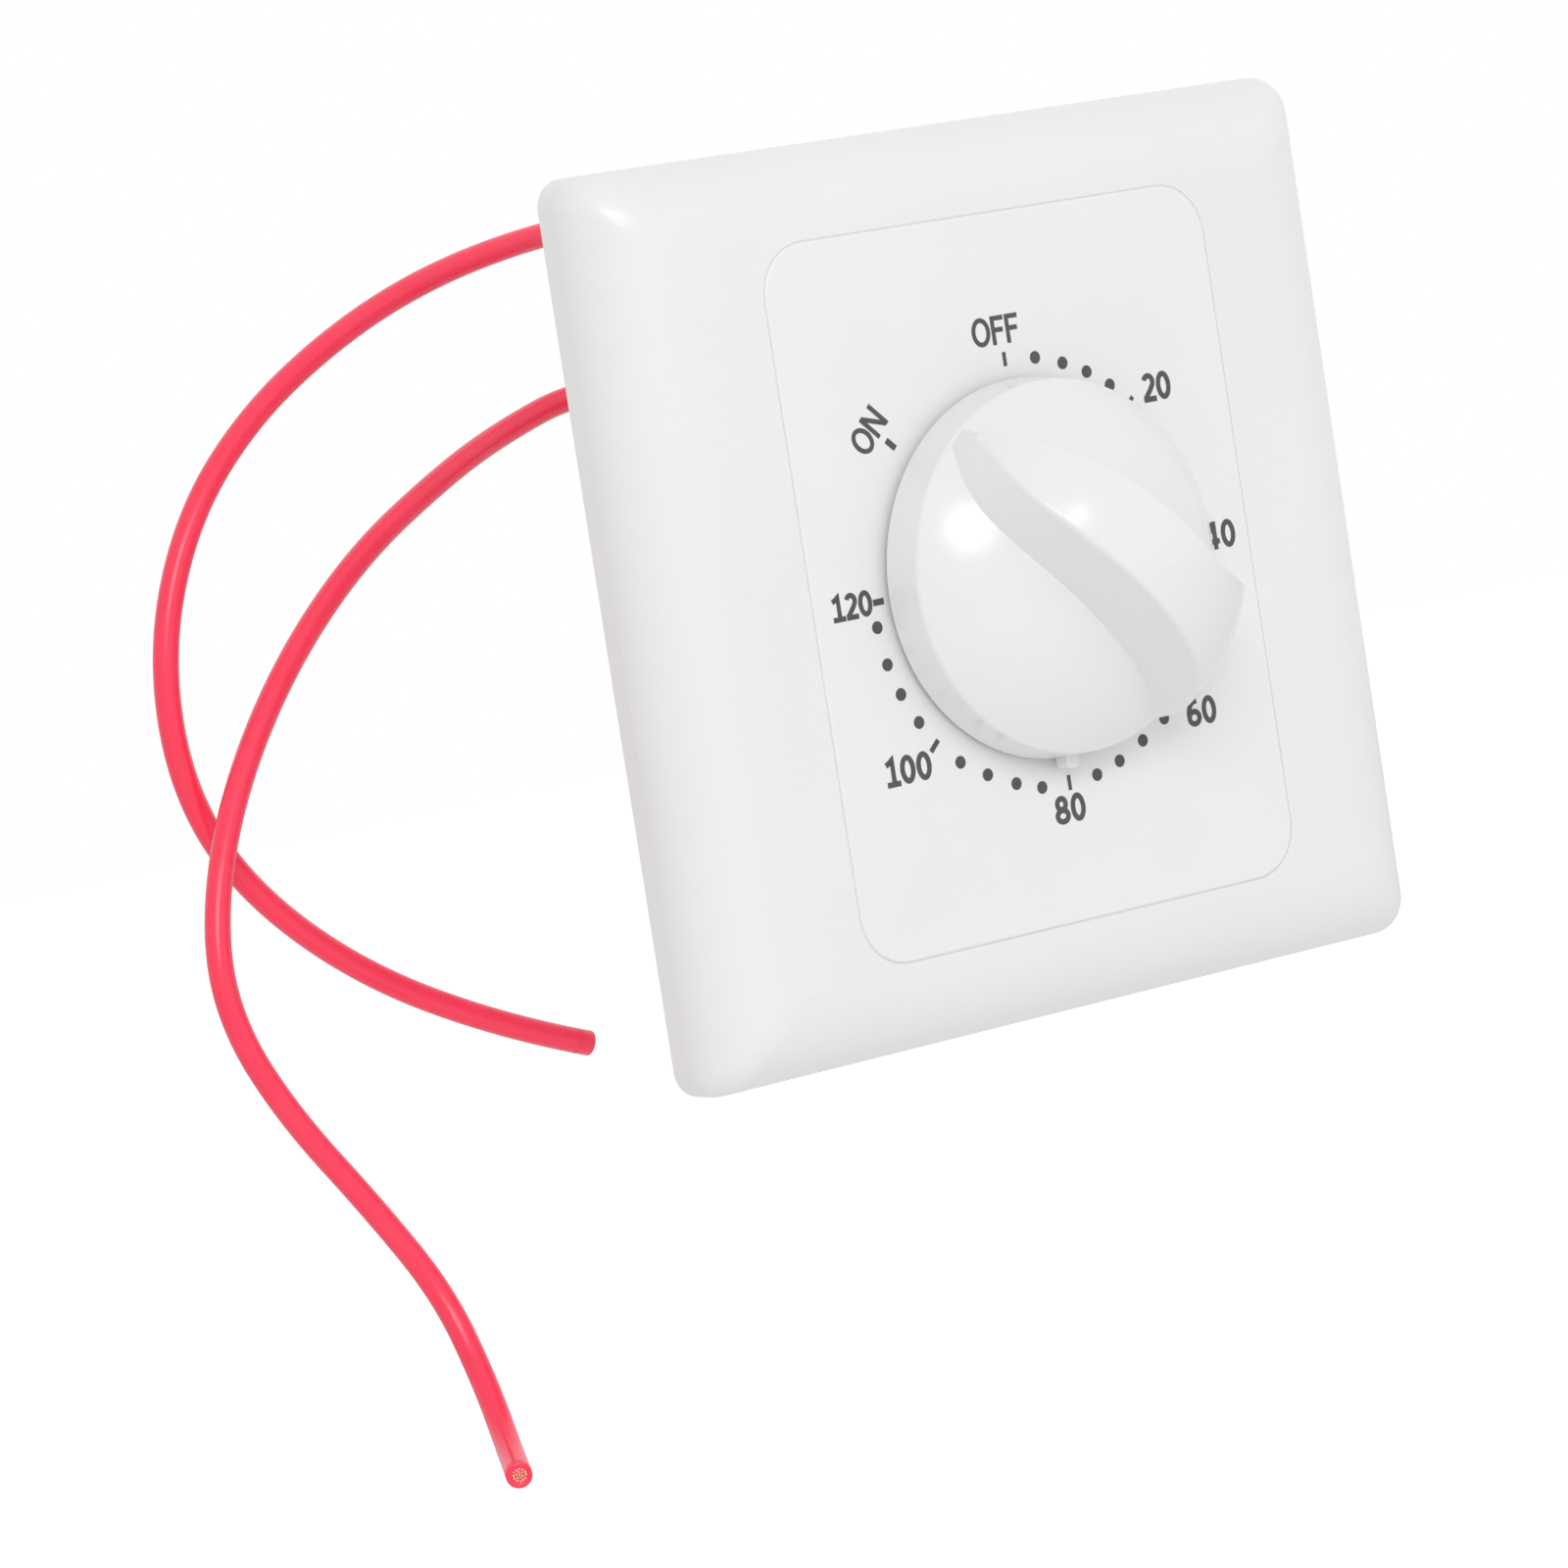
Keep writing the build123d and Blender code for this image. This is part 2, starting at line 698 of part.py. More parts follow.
with BuildPart() as verge:
    with BuildSketch(facing(verge_front + verge_thickness)):
        for place in pin_places:
            reach = hypot(place[0] - balance_place[0], place[1] - balance_place[1])
            middle = ((place[0] + balance_place[0]) / 2, (place[1] + balance_place[1]) / 2)
            with Locations(Location(middle, bearing(balance_place, place))):
                SlotCenterToCenter(reach, verge_width)
        with Locations(balance_place):
            Circle(arbor_radius + verge_width / 2)
            Circle(arbor_radius + seat_gap, mode=Mode.SUBTRACT)
    extrude(amount=verge_thickness)
save(verge.part, "verge")

with BuildPart() as pallet_pins:
    for place in pin_places:
        bar(pallet_pin, verge_front + verge_thickness, second_front + wheel_thickness, place)
save(pallet_pins.part, "pallet_pins")

with BuildPart() as balance_wheel:
    balance_front = inner_front + balance_level
    with BuildSketch(facing(balance_front + balance_thickness, place=balance_place)):
        Circle(balance_radius)
        Circle(balance_radius - balance_rim, mode=Mode.SUBTRACT)
        Rectangle(2 * balance_radius - balance_rim, balance_bar)
        Circle(arbor_radius + balance_bar)
        Circle(arbor_radius + seat_gap, mode=Mode.SUBTRACT)
    extrude(amount=balance_thickness)
save(balance_wheel.part, "balance_wheel")

# Mainspring: a flat strip wound in half turns, each a little wider than the last
spring_front = inner_front + spring_level
with BuildPart() as mainspring:
    with BuildSketch(facing(spring_front + spring_height)):
        with BuildLine():
            edges = {}
            for side in (0, spring_strip):
                radius = spring_inner + side
                centre = 0.0
                for half in range(2 * spring_turns + 1):
                    way = 1 if half % 2 == 0 else -1
                    start = (centre + way * radius, 0)
                    end = (centre - way * radius, 0)
                    ThreePointArc(start, (centre, way * radius), end)
                    edges.setdefault(side, []).extend((start, end))
                    centre += way * spring_pitch / 2
                    radius += spring_pitch / 2
            Line(edges[0][0], edges[spring_strip][0])
            Line(edges[0][-1], edges[spring_strip][-1])
        make_face()
    extrude(amount=spring_height)
save(mainspring.part, "mainspring")

# Post that holds the mainspring's outer end
with BuildPart() as spring_anchor:
    bar(spring_post, spring_front - spring_post, inner_back, post_place)
save(spring_anchor.part, "spring_anchor")

# Cam: its notch comes to the follower at OFF, and its rim holds the contacts closed elsewhere
rest_travel = rest_mark - on_mark
notch_azimuth = 180.0 + rest_mark
with BuildPart() as cam_disc:
    with BuildSketch(facing(cam_front + cam_thickness)):
        Circle(cam_radius)
        with BuildLine():
            Polyline(
                around(cam_radius + overrun, notch_azimuth - cam_notch_angle),
                around(cam_radius - cam_notch_depth, notch_azimuth - cam_notch_angle / 2),
                around(cam_radius - cam_notch_depth, notch_azimuth + cam_notch_angle / 2),
                around(cam_radius + overrun, notch_azimuth + cam_notch_angle),
                close=True,
            )
        make_face(mode=Mode.SUBTRACT)
        Circle(shaft_tail_radius + seat_gap, mode=Mode.SUBTRACT)
    extrude(amount=cam_thickness)
save(cam_disc.part, "cam_disc")

# Stop arm: it meets the stop pin just past ON one way and just past the last mark the other
pin_half_angle = degrees(asin(stop_pin_radius / stop_pin_distance))
arm_azimuth = rest_travel + pin_half_angle + stop_gap_angle + stop_arm_half_angle
with BuildPart() as stop_arm:
    with BuildSketch(facing(stop_arm_front + stop_arm_thickness)):
        with BuildLine():
            Polyline(
                (0, 0),
                around(stop_arm_length, arm_azimuth - stop_arm_half_angle),
                around(stop_arm_length, arm_azimuth + stop_arm_half_angle),
                close=True,
            )
        make_face()
        Circle(stop_arm_radius)
        Circle(shaft_tail_radius + seat_gap, mode=Mode.SUBTRACT)
    extrude(amount=stop_arm_thickness)
save(stop_arm.part, "stop_arm")

with BuildPart() as stop_pin:
    bar(stop_pin_radius, movement_back, stop_arm_front + stop_arm_thickness, stop_pin_place)
save(stop_pin.part, "stop_pin")

# Retaining ring: a C-shaped ring on the end of the shaft's tail
with BuildPart() as retaining_ring:
    with BuildSketch(facing(ring_front + ring_thickness)):
        Circle(ring_radius)
        Circle(shaft_tail_radius + seat_gap, mode=Mode.SUBTRACT)
        with Locations((0, -ring_radius)):
            Rectangle(shaft_tail_radius, ring_radius, mode=Mode.SUBTRACT)
    extrude(amount=ring_thickness)
save(retaining_ring.part, "retaining_ring")

# Contact blades: the upper one follows the cam, the lower one waits under it
moving_height = -(cam_radius + follower_gap + follower_height + blade_thickness / 2)
fixed_height = moving_height - contact_gap - blade_thickness
block_centre = block_offset + block_width / 2


# Slot for a blade through its block, with a little room all round
def contact_block(side, height):
    with BuildSketch(facing(movement_back + block_depth)) as block:
        with Locations((side * block_centre, height)):
            RectangleRounded(block_width, block_height, block_height / 8)
    extrude(block.sketch, amount=block_depth)
    with BuildSketch(facing(blade_front + blade_width + seat_gap)) as slot:
        with Locations((side * block_centre, height)):
            Rectangle(block_width + overrun, blade_thickness + 2 * seat_gap)
    extrude(slot.sketch, amount=blade_width + 2 * seat_gap, mode=Mode.SUBTRACT)


with BuildPart() as moving_contact_block:
    contact_block(-1, moving_height)
save(moving_contact_block.part, "moving_contact_block")

with BuildPart() as fixed_contact_block:
    contact_block(1, fixed_height)
save(fixed_contact_block.part, "fixed_contact_block")

with BuildPart() as moving_contact:
    low = moving_height - blade_thickness / 2
    high = moving_height + blade_thickness / 2
    crest = -(cam_radius + follower_gap)
    end = contact_offset + 2 * contact_radius
    with BuildSketch(facing(blade_front + blade_width)):
        with BuildLine():
            Polyline(
                (-blade_end, low),
                (-follower_width / 2, low),
                (-follower_width / 6, crest - blade_thickness),
                (follower_width / 6, crest - blade_thickness),
                (follower_width / 2, low),
                (end, low),
                (end, high),
                (follower_width / 2 + blade_thickness / 2, high),
                (follower_width / 6 + blade_thickness / 2, crest),
                (-follower_width / 6 - blade_thickness / 2, crest),
                (-follower_width / 2 - blade_thickness / 2, high),
                (-blade_end, high),
                close=True,
            )
        make_face()
    extrude(amount=blade_width)
save(moving_contact.part, "moving_contact")

with BuildPart() as fixed_contact:
    with BuildSketch(facing(blade_front + blade_width)):
        start = contact_offset - 2 * contact_radius
        with Locations(((start + blade_end) / 2, fixed_height)):
            Rectangle(blade_end - start, blade_thickness)
    extrude(amount=blade_width)
save(fixed_contact.part, "fixed_contact")

# Silver contact points: one under the moving blade, one on the fixed blade, closed at rest
with BuildPart() as contact_points:
    blade_middle = blade_front + blade_width / 2
    for height, way in ((moving_height, -1), (fixed_height, 1)):
        face = height + way * blade_thickness / 2
        with BuildSketch(Plane(origin=(contact_offset, blade_middle, face))):
            Circle(contact_radius)
        extrude(amount=way * (contact_gap - end_gap) / 2)
save(contact_points.part, "contact_points")

# Solder barrels that join each blade's end to its lead
lead_left = grommet_offset_x - lead_spacing / 2
lead_right = grommet_offset_x + lead_spacing / 2
barrel_x = blade_end - barrel_radius / 2
blade_heights = {-1: moving_height, 1: fixed_height}
with BuildPart() as lead_barrels:
    for side, height in blade_heights.items():
        foot = height + blade_thickness / 2
        with BuildSketch(Plane(origin=(side * barrel_x, lead_plane - barrel_radius, foot))):
            Circle(barrel_radius)
        extrude(amount=barrel_length)
save(lead_barrels.part, "lead_barrels")

# Inner leads: up from the barrels, across above the shaft and back to the grommet
inner_bend = 1.6 * lead_diameter
with BuildPart() as inner_leads:
    run_depth = lead_plane - barrel_radius
    for side, across in ((-1, lead_left), (1, lead_right)):
        barrel_top = blade_heights[side] + blade_thickness / 2 + barrel_length
        start = (side * barrel_x, run_depth, barrel_top)
        with BuildLine() as run_line:
            FilletPolyline(
                start,
                (side * barrel_x, run_depth, grommet_height),
                (across, run_depth, grommet_height),
                (across, cover_inner, grommet_height),
                radius=inner_bend,
            )
        with BuildSketch(Plane(origin=start)):
            Circle(lead_radius)
        sweep(path=run_line.line)
save(inner_leads.part, "inner_leads")

# Rear cover: a moulded box over the movement and the contacts, with sleeves for its screws
cover_width = movement_width + 2 * (cover_gap + cover_wall)
cover_height = movement_height + 2 * (cover_gap + cover_wall)
with BuildPart() as rear_cover:
    with BuildSketch(facing(cover_back)):
        RectangleRounded(cover_width, cover_height, cover_corner)
    extrude(amount=cover_back - floor_back)
    with BuildSketch(facing(cover_inner)):
        RectangleRounded(
            cover_width - 2 * cover_wall, cover_height - 2 * cover_wall, cover_corner - cover_wall
        )
    extrude(amount=cover_inner - floor_back + overrun, mode=Mode.SUBTRACT)
    fillet(rear_cover.faces().sort_by(Axis.Y)[-1].edges(), cover_wall / 2)
    for place in (pillars[0], pillars[3]):
        bar(cover_sleeve, movement_back, cover_inner, place)
        bar(screw_shank + seat_gap, movement_back - overrun, cover_back + overrun, place, Mode.SUBTRACT)
    with BuildSketch(facing(cover_back + overrun)):
        with Locations((grommet_offset_x, grommet_height)):
            SlotOverall(grommet_width, grommet_size)
    extrude(amount=cover_wall + 2 * overrun, mode=Mode.SUBTRACT)
save(rear_cover.part, "rear_cover")

# Cable grommet: a soft bush in the cover's rear wall, with a tapered nose round each lead
grommet_back = cover_back + grommet_flange_thickness + grommet_nose
with BuildPart() as cable_grommet:
    with BuildSketch(facing(cover_back)):
        with Locations((grommet_offset_x, grommet_height)):
            SlotOverall(grommet_width - 2 * seat_gap, grommet_size - 2 * seat_gap)
    extrude(amount=cover_wall)
    with BuildSketch(facing(cover_back + grommet_flange_thickness)):
        with Locations((grommet_offset_x, grommet_height)):
            SlotOverall(grommet_width + 2 * grommet_flange, grommet_size + 2 * grommet_flange)
    extrude(amount=grommet_flange_thickness)
    for across in (lead_left, lead_right):
        with BuildSketch(facing(cover_back + grommet_flange_thickness)):
            with Locations((across, grommet_height)):
                Circle(lead_spacing / 2)
        extrude(amount=-grommet_nose, taper=grommet_taper)
save(cable_grommet.part, "cable_grommet")

# Free leads: routes chosen by eye, from the grommet to the cut end
upper_route = [
    (lead_right, grommet_back, grommet_height),
    (lead_right, 33.2, grommet_height),
    (6.2, 39.7, 21.0),
    (4.2, 44.1, 26.7),
    (-0.3, 46.5, 32.2),
    (-6.5, 45.4, 37.3),
    (-15.4, 42.5, 38.6),
    (-29.3, 39.9, 36.7),
    (-41.6, 38.4, 33.3),
    (-54.5, 37.6, 26.0),
    (-64.6, 37.0, 15.7),
    (-68.8, 36.8, 4.7),
    (-68.6, 36.6, -9.8),
    (-63.4, 36.2, -19.6),
    (-51.2, 35.4, -29.3),
    (-40.2, 34.4, -36.2),
    (-30.6, 33.0, -40.5),
]
lower_route = [
    (lead_left, grommet_back, grommet_height),
    (lead_left, 32.8, grommet_height),
    (-1.7, 39.1, 19.1),
    (-7.1, 43.4, 20.8),
    (-13.9, 44.7, 21.8),
    (-23.9, 42.7, 20.4),
    (-32.9, 39.6, 16.7),
    (-46.2, 36.4, 11.3),
    (-57.3, 33.6, 0.8),
    (-66.5, 31.2, -10.6),
    (-72.3, 29.6, -19.7),
    (-72.2, 28.4, -31.5),
    (-68.0, 27.0, -40.5),
    (-62.0, 25.2, -49.2),
    (-57.0, 22.4, -59.6),
    (-57.3, 18.0, -68.9),
    (-59.2, 12.6, -73.4),
    (-63.1, 5.6, -74.1),
]


# Arc radii of a route: 0.45 of the shorter run over the tangent of half the turn
def bend_radii(route):
    corners = [Vector(*point) for point in route]
    radii = []
    for before, corner, after in zip(corners, corners[1:], corners[2:]):
        turn = radians((corner - before).get_angle(after - corner))
        shorter = min((corner - before).length, (after - corner).length)
        radii.append(0.45 * shorter / tan(turn / 2))
    return radii


# A free lead with the bore for its bare copper end, and the copper strands in it
def lead_line(route):
    with BuildLine() as line:
        FilletPolyline(*route, radius=bend_radii(route))
    return line.wire()


def end_plane(route):
    last = Vector(*route[-1])
    return Plane(origin=last, z_dir=(Vector(*route[-2]) - last).normalized())


strand_radius = core_diameter / 6
for name, route in (("upper_lead", upper_route), ("lower_lead", lower_route)):
    line = lead_line(route)
    with BuildPart() as lead:
        with BuildSketch(Plane(origin=line @ 0, z_dir=line % 0)):
            Circle(lead_radius)
        sweep(path=line)
        whole = lead.part.volume
        with BuildSketch(end_plane(route)):
            Circle(core_diameter / 2)
        extrude(amount=core_depth, mode=Mode.SUBTRACT)
    expected = pi * lead_radius**2 * line.length
    radii = bend_radii(route)
    print(f"{name} length {line.length:.1f}, volume {whole:.1f} against {expected:.1f}")
    print(f"{name} radii", " ".join(f"{radius:.1f}" for radius in radii))
    save(lead.part, name)
    with BuildPart() as strands:
        with BuildSketch(end_plane(route)):
            Circle(strand_radius - seat_gap)
            with PolarLocations(2 * strand_radius, core_wires - 1):
                Circle(strand_radius - seat_gap)
        extrude(amount=core_depth)
    save(strands.part, name.replace("lead", "strands"))

print("arbors", [tuple(round(value, 2) for value in place) for place in arbor_places])
print("travel from rest", on_mark - rest_mark, "to", last_mark - rest_mark)
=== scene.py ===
import json
import math

import bmesh
import bpy
from mathutils import Matrix, Vector


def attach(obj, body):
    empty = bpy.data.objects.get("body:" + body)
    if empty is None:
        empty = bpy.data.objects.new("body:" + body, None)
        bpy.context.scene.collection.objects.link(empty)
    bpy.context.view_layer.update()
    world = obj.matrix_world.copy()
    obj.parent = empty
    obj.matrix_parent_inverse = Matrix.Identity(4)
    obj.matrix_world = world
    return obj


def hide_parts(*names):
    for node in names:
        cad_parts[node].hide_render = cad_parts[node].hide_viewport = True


mm = 0.001
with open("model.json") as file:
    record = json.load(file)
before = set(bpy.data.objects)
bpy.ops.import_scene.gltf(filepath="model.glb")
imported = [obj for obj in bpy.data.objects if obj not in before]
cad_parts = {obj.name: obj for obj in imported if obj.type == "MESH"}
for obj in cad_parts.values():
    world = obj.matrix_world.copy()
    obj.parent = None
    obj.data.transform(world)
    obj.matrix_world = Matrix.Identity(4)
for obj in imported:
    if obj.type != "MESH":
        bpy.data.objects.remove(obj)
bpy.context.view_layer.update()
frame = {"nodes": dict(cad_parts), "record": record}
nodes = frame["nodes"]
print("frame loaded,", len(nodes), "nodes")


# camera, fitted to the plate's corners and the dial's ring of marks
view = {
    "place": (-0.36607, -0.48980, 0.03534),
    "right": (0.80382, -0.57476, -0.15334),
    "up": (0.17478, -0.01819, 0.98444),
    "back": (-0.56861, -0.81812, 0.08583),
    "lens": 146.25,
    "sensor": 36,
    "clip": (0.01, 20),
}


def makeCamera():
    data = bpy.data.cameras.new("camera")
    data.lens = view["lens"]
    data.sensor_width = view["sensor"]
    data.clip_start, data.clip_end = view["clip"]
    camera = bpy.data.objects.new("camera", data)
    turn = Matrix((view["right"], view["up"], view["back"])).transposed()
    camera.matrix_world = Matrix.Translation(view["place"]) @ turn.to_4x4()
    bpy.context.collection.objects.link(camera)
    bpy.context.scene.camera = camera


makeCamera()
print("camera set")


# small helpers for meshes
weld = 1e-7


def newPiece(name, data, material):
    piece = bpy.data.objects.new(name, data)
    bpy.context.collection.objects.link(piece)
    data.materials.append(material)
    return piece


def fromBmesh(name, bm, material, smooth=True):
    mesh = bpy.data.meshes.new(name)
    bmesh.ops.remove_doubles(bm, verts=bm.verts, dist=weld)
    bmesh.ops.recalc_face_normals(bm, faces=bm.faces)
    bm.to_mesh(mesh)
    bm.free()
    for face in mesh.polygons:
        face.use_smooth = smooth
    return newPiece(name, mesh, material)


def only(kind, items):
    return [item for item in items if isinstance(item, kind)]


def roundOff(bm, items, offset, segments, affect="EDGES"):
    bmesh.ops.bevel(
        bm, geom=items, offset=offset, segments=segments, profile=0.5, affect=affect, material=-1
    )


# plane of the dial: x right, y up, and its normal out of the wall
def dialPlane(x, z, depth, turn=0.0):
    return (
        Matrix.Translation((x * mm, depth * mm, z * mm))
        @ Matrix.Rotation(-turn, 4, "Y")
        @ Matrix.Rotation(math.pi / 2, 4, "X")
    )


# small helpers for shaders; a colour mix has its sockets under these numbers
mixMask, mixLow, mixHigh, mixResult = 0, 6, 7, 2


def newNode(tree, kind, values=(), **settings):
    node = tree.nodes.new("ShaderNode" + kind)
    for setting, value in settings.items():
        setattr(node, setting, value)
    for socket, value in dict(values).items():
        node.inputs[socket].default_value = value
    return node


def wire(tree, *pairs):
    for start, end in pairs:
        tree.links.new(start, end)


def mixColour(tree, mask, low, high):  # low is a colour or what another mix gives
    mix = newNode(tree, "Mix", {mixHigh: (*high, 1)}, data_type="RGBA")
    if isinstance(low, tuple):
        mix.inputs[mixLow].default_value = (*low, 1)
    else:
        wire(tree, (low, mix.inputs[mixLow]))
    wire(tree, (mask, mix.inputs[mixMask]))
    return mix.outputs[mixResult]


def addBump(tree, shader, height, strength, depth):
    bump = newNode(tree, "Bump", {"Strength": strength, "Distance": depth})
    wire(tree, (height, bump.inputs["Height"]), (bump.outputs["Normal"], shader.inputs["Normal"]))


# surfaces that several finishes share: sizes are waves per metre, depths are metres
moulded = {
    "waveDetail": 2.0,
    "grain": 2500.0,
    "grainDetail": 1.0,
    "grainShare": 0.12,
    "speckCells": 95.0,
    "speckEdge": (0.022, 0.010),
    "speckRare": 0.90,
    "depth": 0.0001,
    "ior": 1.5,
}
brushed = {
    "stretch": (0.05, 1.0, 1.0),
    "lines": 2500.0,
    "lineDetail": 3.0,
    "stain": 180.0,
    "stainDetail": 4.0,
    "smoother": 0.08,
    "rougher": 0.12,
    "bump": 0.15,
    "depth": 0.00005,
}


def newGroup(name, values, results):
    group = bpy.data.node_groups.new(name, "ShaderNodeTree")
    face = group.interface
    face.new_socket(name="Vector", in_out="INPUT", socket_type="NodeSocketVector")
    for way, sockets in (("INPUT", values), ("OUTPUT", results)):
        for socket in sockets:
            face.new_socket(name=socket, in_out=way, socket_type="NodeSocketFloat")
    ins = group.nodes.new("NodeGroupInput").outputs
    outs = group.nodes.new("NodeGroupOutput").inputs
    return group, ins, outs


def makeMouldedGroup():  # soft unevenness of moulded plastic, with a few dark specks
    group, ins, outs = newGroup("mouldedSurface", ("Waves", "Specks"), ("Tone", "Speck", "Height"))
    waves = newNode(group, "TexNoise", {"Detail": moulded["waveDetail"]})
    sizes = {"Scale": moulded["grain"], "Detail": moulded["grainDetail"]}
    grain = newNode(group, "TexNoise", sizes)
    mixed = newNode(group, "Math", {1: moulded["grainShare"]}, operation="MULTIPLY_ADD")
    cells = newNode(group, "TexVoronoi", {"Scale": moulded["speckCells"]})
    outer, inner = moulded["speckEdge"]
    near = newNode(group, "MapRange", {"From Min": outer, "From Max": inner}, clamp=True)
    rare = newNode(group, "SeparateColor")
    pick = newNode(group, "Math", {1: moulded["speckRare"]}, operation="GREATER_THAN")
    speck = newNode(group, "Math", operation="MULTIPLY")
    shown = newNode(group, "Math", operation="MULTIPLY")
    wire(
        group,
        (ins["Vector"], waves.inputs["Vector"]),
        (ins["Vector"], grain.inputs["Vector"]),
        (ins["Vector"], cells.inputs["Vector"]),
        (ins["Waves"], waves.inputs["Scale"]),
        (grain.outputs["Fac"], mixed.inputs[0]),
        (waves.outputs["Fac"], mixed.inputs[2]),
        (cells.outputs["Distance"], near.inputs["Value"]),
        (cells.outputs["Color"], rare.inputs["Color"]),
        (rare.outputs["Red"], pick.inputs[0]),
        (near.outputs["Result"], speck.inputs[0]),
        (pick.outputs["Value"], speck.inputs[1]),
        (speck.outputs["Value"], shown.inputs[0]),
        (ins["Specks"], shown.inputs[1]),
        (waves.outputs["Fac"], outs["Tone"]),
        (shown.outputs["Value"], outs["Speck"]),
        (mixed.outputs["Value"], outs["Height"]),
    )
    return group


def makeBrushedGroup():  # fine lines drawn along one axis, as on sheet and turned metal
    group, ins, outs = newGroup("brushedLines", ("Stain",), ("Line", "Stains"))
    stretch = newNode(group, "Mapping", {"Scale": brushed["stretch"]})
    sizes = {"Scale": brushed["lines"], "Detail": brushed["lineDetail"]}
    lines = newNode(group, "TexNoise", sizes)
    stains = newNode(group, "TexNoise", {"Detail": brushed["stainDetail"]})
    wire(
        group,
        (ins["Vector"], stretch.inputs["Vector"]),
        (stretch.outputs["Vector"], lines.inputs["Vector"]),
        (ins["Vector"], stains.inputs["Vector"]),
        (ins["Stain"], stains.inputs["Scale"]),
        (lines.outputs["Fac"], outs["Line"]),
        (stains.outputs["Fac"], outs["Stains"]),
    )
    return group


mouldedGroup = makeMouldedGroup()
brushedGroup = makeBrushedGroup()


def surfaceMaterial(name, group, values):
    material = bpy.data.materials.new(name)
    material.use_nodes = True
    tree = material.node_tree
    surface = newNode(tree, "Group", values, node_tree=group)
    place = newNode(tree, "TexCoord")
    wire(tree, (place.outputs["Object"], surface.inputs["Vector"]))
    return material, tree, tree.nodes["Principled BSDF"], surface.outputs


def plasticMaterial(name, finish):
    values = {"Waves": finish["waves"], "Specks": finish.get("specks", 0.0)}
    material, tree, shader, surface = surfaceMaterial(name, mouldedGroup, values)
    tone = mixColour(tree, surface["Tone"], finish["low"], finish["high"])
    if "specks" in finish:
        tone = mixColour(tree, surface["Speck"], tone, finish["speck"])
    wire(tree, (tone, shader.inputs["Base Color"]))
    shader.inputs["Roughness"].default_value = finish["rough"]
    shader.inputs["IOR"].default_value = moulded["ior"]
    addBump(tree, shader, surface["Height"], finish["bump"], moulded["depth"])
    return material


def metalMaterial(name, finish):
    values = {"Stain": finish.get("stain", brushed["stain"])}
    material, tree, shader, surface = surfaceMaterial(name, brushedGroup, values)
    tone = mixColour(tree, surface["Stains"], finish["low"], finish["high"])
    smooth = finish["rough"] - brushed["smoother"]
    dull = finish["rough"] + brushed["rougher"]
    rough = newNode(tree, "MapRange", {"To Min": smooth, "To Max": dull})
    wire(
        tree,
        (tone, shader.inputs["Base Color"]),
        (surface["Line"], rough.inputs["Value"]),
        (rough.outputs["Result"], shader.inputs["Roughness"]),
    )
    shader.inputs["Metallic"].default_value = 1.0
    addBump(tree, shader, surface["Line"], brushed["bump"], brushed["depth"])
    return material


# finishes: the two ends of each colour's slight variation, then gloss and grain
plastics = {
    "plateWhite": {
        "low": (0.775, 0.775, 0.775), "high": (0.81, 0.81, 0.81), "rough": 0.27,
        "waves": 45.0, "bump": 0.10, "specks": 0.55, "speck": (0.30, 0.28, 0.26),
    },
    "panelWhite": {
        "low": (0.785, 0.785, 0.785), "high": (0.82, 0.82, 0.82), "rough": 0.34,
        "waves": 70.0, "bump": 0.08, "specks": 0.35, "speck": (0.35, 0.33, 0.32),
    },
    "knobWhite": {
        "low": (0.775, 0.775, 0.775), "high": (0.805, 0.805, 0.805), "rough": 0.2,
        "waves": 55.0, "bump": 0.05,
    },
    "coverWhite": {
        "low": (0.66, 0.66, 0.64), "high": (0.72, 0.72, 0.70), "rough": 0.45,
        "waves": 80.0, "bump": 0.25,
    },
    "camNylon": {
        "low": (0.70, 0.68, 0.60), "high": (0.78, 0.76, 0.68), "rough": 0.35,
        "waves": 120.0, "bump": 0.1,
    },
    "brownPhenolic": {
        "low": (0.060, 0.022, 0.010), "high": (0.105, 0.045, 0.020), "rough": 0.5,
        "waves": 400.0, "bump": 0.3,
    },
    "grommetRubber": {
        "low": (0.010, 0.010, 0.010), "high": (0.022, 0.022, 0.022), "rough": 0.6,
        "waves": 300.0, "bump": 0.35,
    },
    "redPvc": {
        "low": (0.90, 0.027, 0.076), "high": (0.98, 0.042, 0.102), "rough": 0.25,
        "waves": 160.0, "bump": 0.06,
    },
    "printGrey": {
        "low": (0.055, 0.055, 0.058), "high": (0.095, 0.095, 0.10), "rough": 0.55,
        "waves": 900.0, "bump": 0.1,
    },
}
metals = {
    "zincSteel": {"low": (0.52, 0.52, 0.50), "high": (0.66, 0.66, 0.64), "rough": 0.32},
    "springSteel": {"low": (0.16, 0.18, 0.23), "high": (0.30, 0.32, 0.36), "rough": 0.28},
    "brass": {"low": (0.62, 0.42, 0.13), "high": (0.78, 0.56, 0.22), "rough": 0.26},
    "silver": {"low": (0.72, 0.71, 0.68), "high": (0.85, 0.84, 0.81), "rough": 0.22},
    "copperWire": {
        "low": (0.70, 0.27, 0.15), "high": (1.0, 0.66, 0.48), "rough": 0.2, "stain": 2600.0,
    },
}
look = {name: plasticMaterial(name, finish) for name, finish in plastics.items()}
look.update({name: metalMaterial(name, finish) for name, finish in metals.items()})
